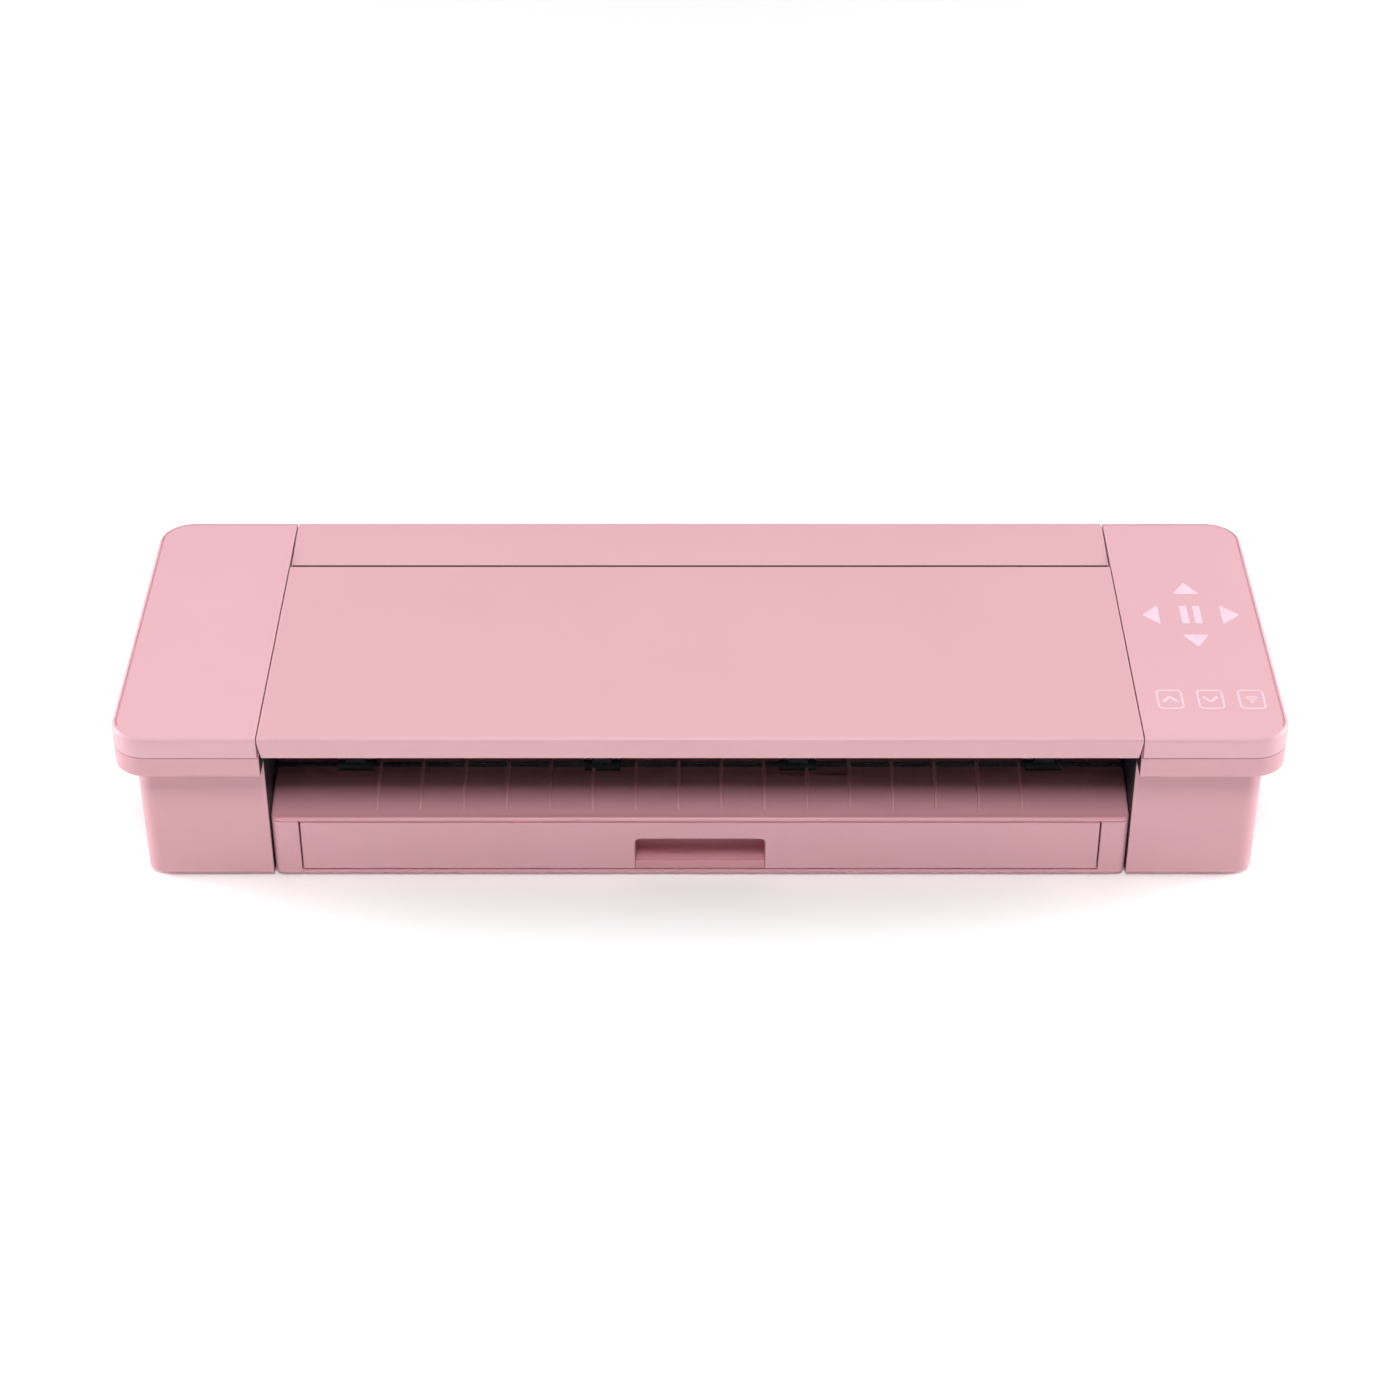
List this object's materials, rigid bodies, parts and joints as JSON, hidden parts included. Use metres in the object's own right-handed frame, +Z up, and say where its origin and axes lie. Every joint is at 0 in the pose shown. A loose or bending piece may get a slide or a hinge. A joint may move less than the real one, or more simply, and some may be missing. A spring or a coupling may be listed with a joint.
{
  "type": "die cutting machine",
  "caption": "Flat electronic die cutting machine with a sliding lid, a ribbed media bed, pinch rollers, a tool carriage on a rail and a storage drawer.",
  "frame": {"origin": "on the table, under the middle of the machine", "axes": "+X to the user's right along the machine, +Y from the user to the rear, +Z up"},
  "size_m": [0.57, 0.195, 0.094],
  "materials": {
    "pink_shell": "satin moulded plastic",
    "pink_moulding": "satin moulded plastic",
    "graphite_plastic": "fine textured plastic",
    "white_acetal": "smooth plastic",
    "zinc_steel": "zinc plated",
    "aluminium": "extruded, satin",
    "rubber": "matt",
    "grit": "abrasive coating",
    "brass": "plated",
    "circuit_board": "solder mask",
    "silicone": "smooth"
  },
  "bodies": {
    "base": {"housing_left": "pink_shell", "housing_right": "pink_shell", "end_cap_left": "pink_shell", "end_cap_right": "pink_shell", "foot_front_left": "rubber", "foot_front_right": "rubber", "foot_rear_left": "rubber", "foot_rear_right": "rubber", "lid_track_left": "graphite_plastic", "lid_track_right": "graphite_plastic", "rear_strip": "pink_shell", "rear_cover": "pink_shell", "bed_frame": "pink_shell", "bed": "pink_shell", "cutting_strip": "silicone", "side_plate_left": "zinc_steel", "side_plate_right": "zinc_steel", "pinch_bar": "zinc_steel", "carriage_rail": "aluminium", "carriage_belt": "rubber", "idler_bracket": "zinc_steel", "carriage_motor": "zinc_steel", "feed_motor": "zinc_steel", "dc_inlet": "graphite_plastic", "usb_socket": "brass", "main_board": "circuit_board", "touch_board": "circuit_board"},
    "lid_body": {"lid": "pink_shell", "lid_runner_left": "graphite_plastic", "lid_runner_right": "graphite_plastic"},
    "drawer_body": {"drawer": "pink_shell", "drawer_pull": "pink_moulding"},
    "drawer_wheel_left": {"drawer_roller_left": "white_acetal"},
    "drawer_wheel_right": {"drawer_roller_right": "white_acetal"},
    "carriage_body": {"carriage": "graphite_plastic"},
    "cutting_tool_body": {"cutting_tool": "white_acetal"},
    "pen_tool_body": {"pen_tool": "pink_moulding"},
    "drive_pulley_body": {"drive_pulley": "aluminium"},
    "idler_pulley_body": {"idler_pulley": "aluminium"},
    "feed_body": {"feed_shaft": "zinc_steel", "grit_sleeve_1": "grit", "grit_sleeve_2": "grit", "grit_sleeve_3": "grit", "grit_sleeve_4": "grit", "feed_gear": "white_acetal"},
    "pinion_body": {"feed_pinion": "zinc_steel"},
    "button_body": {"power_button": "graphite_plastic"},
    "arm_body_1": {"pinch_arm_1": "graphite_plastic"},
    "roller_body_1": {"pinch_roller_1": "rubber"},
    "arm_body_2": {"pinch_arm_2": "graphite_plastic"},
    "roller_body_2": {"pinch_roller_2": "rubber"},
    "arm_body_3": {"pinch_arm_3": "graphite_plastic"},
    "roller_body_3": {"pinch_roller_3": "rubber"},
    "arm_body_4": {"pinch_arm_4": "graphite_plastic"},
    "roller_body_4": {"pinch_roller_4": "rubber"}
  },
  "joints": [
    {"name": "lid_slide", "type": "slide", "parent": "base", "child": "lid_body", "axis": [0, 0.9982, 0.0593], "range_m": [0, 0.097]},
    {"name": "drawer_slide", "type": "slide", "parent": "base", "child": "drawer_body", "axis": [0, -1, 0], "range_m": [0, 0.08]},
    {"name": "drawer_wheel_left_spin", "type": "hinge", "parent": "drawer_body", "child": "drawer_wheel_left", "pos_m": [-0.1974, 0.0155, 0.0098], "axis": [1, 0, 0], "range_deg": [-10, 930]},
    {"name": "drawer_wheel_right_spin", "type": "hinge", "parent": "drawer_body", "child": "drawer_wheel_right", "pos_m": [0.1974, 0.0155, 0.0098], "axis": [1, 0, 0], "range_deg": [-10, 930]},
    {"name": "carriage_slide", "type": "slide", "parent": "base", "child": "carriage_body", "axis": [1, 0, 0], "range_m": [0, 0.33]},
    {"name": "drive_pulley_spin", "type": "hinge", "parent": "base", "child": "drive_pulley_body", "pos_m": [0.238, 0.032, 0.064], "axis": [0, 1, 0], "range_deg": [-2710, 10]},
    {"name": "idler_pulley_spin", "type": "hinge", "parent": "base", "child": "idler_pulley_body", "pos_m": [-0.238, 0.032, 0.064], "axis": [0, 1, 0], "range_deg": [-2710, 10]},
    {"name": "cutting_tool_lift", "type": "slide", "parent": "carriage_body", "child": "cutting_tool_body", "axis": [0, 0, -1], "range_m": [0, 0.0013], "stiffness_N_per_m": 300, "springref_m": -0.001},
    {"name": "pen_tool_lift", "type": "slide", "parent": "carriage_body", "child": "pen_tool_body", "axis": [0, 0, -1], "range_m": [0, 0.0013], "stiffness_N_per_m": 300, "springref_m": -0.001},
    {"name": "feed_spin", "type": "hinge", "parent": "base", "child": "feed_body", "pos_m": [0, -0.05, 0.0409], "axis": [1, 0, 0], "continuous": true},
    {"name": "pinion_spin", "type": "hinge", "parent": "base", "child": "pinion_body", "pos_m": [0.2287, -0.02695, 0.0409], "axis": [1, 0, 0], "continuous": true},
    {"name": "pinch_arm_1_lift", "type": "hinge", "parent": "base", "child": "arm_body_1", "pos_m": [-0.172, -0.04, 0.065], "axis": [1, 0, 0], "range_deg": [-8, 0], "stiffness_Nm_per_rad": 0.5, "springref_deg": 5.73},
    {"name": "pinch_roller_1_spin", "type": "hinge", "parent": "arm_body_1", "child": "roller_body_1", "pos_m": [-0.172, -0.05, 0.0518], "axis": [1, 0, 0], "continuous": true},
    {"name": "pinch_arm_2_lift", "type": "hinge", "parent": "base", "child": "arm_body_2", "pos_m": [-0.049, -0.04, 0.065], "axis": [1, 0, 0], "range_deg": [-8, 0], "stiffness_Nm_per_rad": 0.5, "springref_deg": 5.73},
    {"name": "pinch_roller_2_spin", "type": "hinge", "parent": "arm_body_2", "child": "roller_body_2", "pos_m": [-0.049, -0.05, 0.0518], "axis": [1, 0, 0], "continuous": true},
    {"name": "pinch_arm_3_lift", "type": "hinge", "parent": "base", "child": "arm_body_3", "pos_m": [0.049, -0.04, 0.065], "axis": [1, 0, 0], "range_deg": [-8, 0], "stiffness_Nm_per_rad": 0.5, "springref_deg": 5.73},
    {"name": "pinch_roller_3_spin", "type": "hinge", "parent": "arm_body_3", "child": "roller_body_3", "pos_m": [0.049, -0.05, 0.0518], "axis": [1, 0, 0], "continuous": true},
    {"name": "pinch_arm_4_lift", "type": "hinge", "parent": "base", "child": "arm_body_4", "pos_m": [0.172, -0.04, 0.065], "axis": [1, 0, 0], "range_deg": [-8, 0], "stiffness_Nm_per_rad": 0.5, "springref_deg": 5.73},
    {"name": "pinch_roller_4_spin", "type": "hinge", "parent": "arm_body_4", "child": "roller_body_4", "pos_m": [0.172, -0.05, 0.0518], "axis": [1, 0, 0], "continuous": true},
    {"name": "power_press", "type": "slide", "parent": "base", "child": "button_body", "axis": [-1, 0, 0], "range_m": [0, 0.001], "stiffness_N_per_m": 800, "springref_m": -0.0005}
  ],
  "couplings": [
    {"joint": "drawer_wheel_left_spin", "follows": "drawer_slide", "rad_per_m": 200},
    {"joint": "drawer_wheel_right_spin", "follows": "drawer_slide", "rad_per_m": 200},
    {"joint": "drive_pulley_spin", "follows": "carriage_slide", "rad_per_m": -142.86},
    {"joint": "idler_pulley_spin", "follows": "carriage_slide", "rad_per_m": -142.86},
    {"joint": "pinion_spin", "follows": "feed_spin", "ratio": -2.2857},
    {"joint": "pinch_roller_1_spin", "follows": "feed_spin", "ratio": -0.76667},
    {"joint": "pinch_roller_2_spin", "follows": "feed_spin", "ratio": -0.76667},
    {"joint": "pinch_roller_3_spin", "follows": "feed_spin", "ratio": -0.76667},
    {"joint": "pinch_roller_4_spin", "follows": "feed_spin", "ratio": -0.76667}
  ]
}
